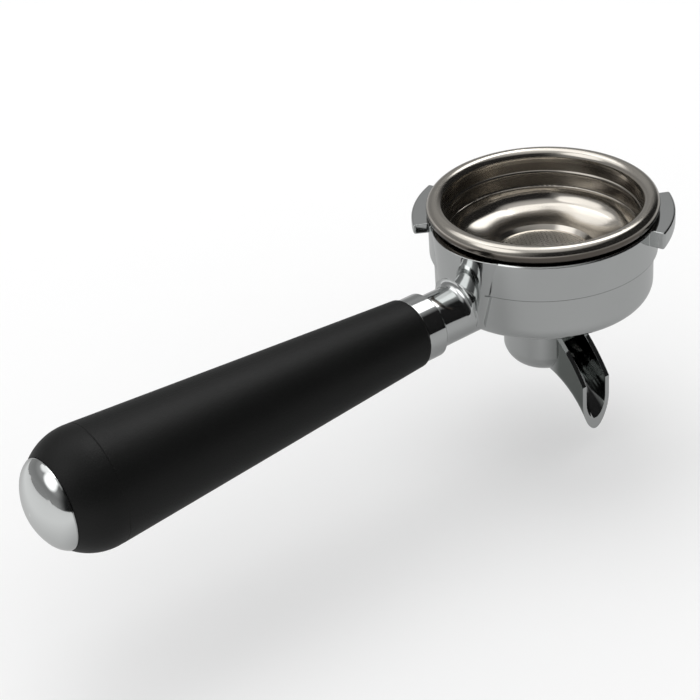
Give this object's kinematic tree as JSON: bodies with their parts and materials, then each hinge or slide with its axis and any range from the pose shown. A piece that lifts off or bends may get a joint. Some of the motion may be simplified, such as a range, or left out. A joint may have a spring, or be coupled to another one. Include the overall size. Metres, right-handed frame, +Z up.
{
  "type": "portafilter",
  "caption": "Espresso filter holder with bayonet lugs, lift-out steel filter basket, single open spout and a tapered matt black handle with a domed metal cap.",
  "frame": {"origin": "on the basket's axis, in the centre plane of its rolled rim, where the straight wall of the basket's mouth begins", "axes": "+Z up out of the basket's mouth; the handle lies along -X; the spout pours towards -Y"},
  "size_m": [0.2156, 0.0736, 0.0733],
  "materials": {
    "holder_chrome": "mirror polished chrome plate",
    "basket_steel": "polished stainless sheet",
    "spring_wire": "drawn wire",
    "spout_chrome": "mirror polished chrome plate",
    "seal_fibre": "dull flat gasket",
    "collar_chrome": "mirror polished chrome plate",
    "stud_steel": "machined",
    "grip_plastic": "fine matt moulded grain",
    "insert_brass": "turned",
    "cap_chrome": "mirror polished chrome plate"
  },
  "bodies": {
    "holder": {"filter_holder": "holder_chrome", "basket_spring": "spring_wire", "neck_collar": "collar_chrome", "handle_stud": "stud_steel", "grip": "grip_plastic", "grip_insert": "insert_brass", "end_cap": "cap_chrome", "cap_stud": "stud_steel", "cap_insert": "insert_brass"},
    "basket": {"filter_basket": "basket_steel"},
    "seal": {"spout_seal": "seal_fibre"},
    "spout": {"spout": "spout_chrome"}
  },
  "joints": [
    {"name": "basket_lift", "type": "slide", "parent": "holder", "child": "basket", "axis": [0, 0, 1], "range_m": [0, 0.03]},
    {"name": "seal_drop", "type": "slide", "parent": "holder", "child": "seal", "axis": [0, 0, -1], "range_m": [0, 0.00803]},
    {"name": "spout_unscrew", "type": "hinge", "parent": "seal", "child": "spout", "pos_m": [0, 0, 0], "axis": [0, 0, -1], "range_deg": [0, 2160]}
  ],
  "couplings": [
    {"joint": "seal_drop", "follows": "spout_unscrew", "m_per_rad": 0.00021279}
  ]
}
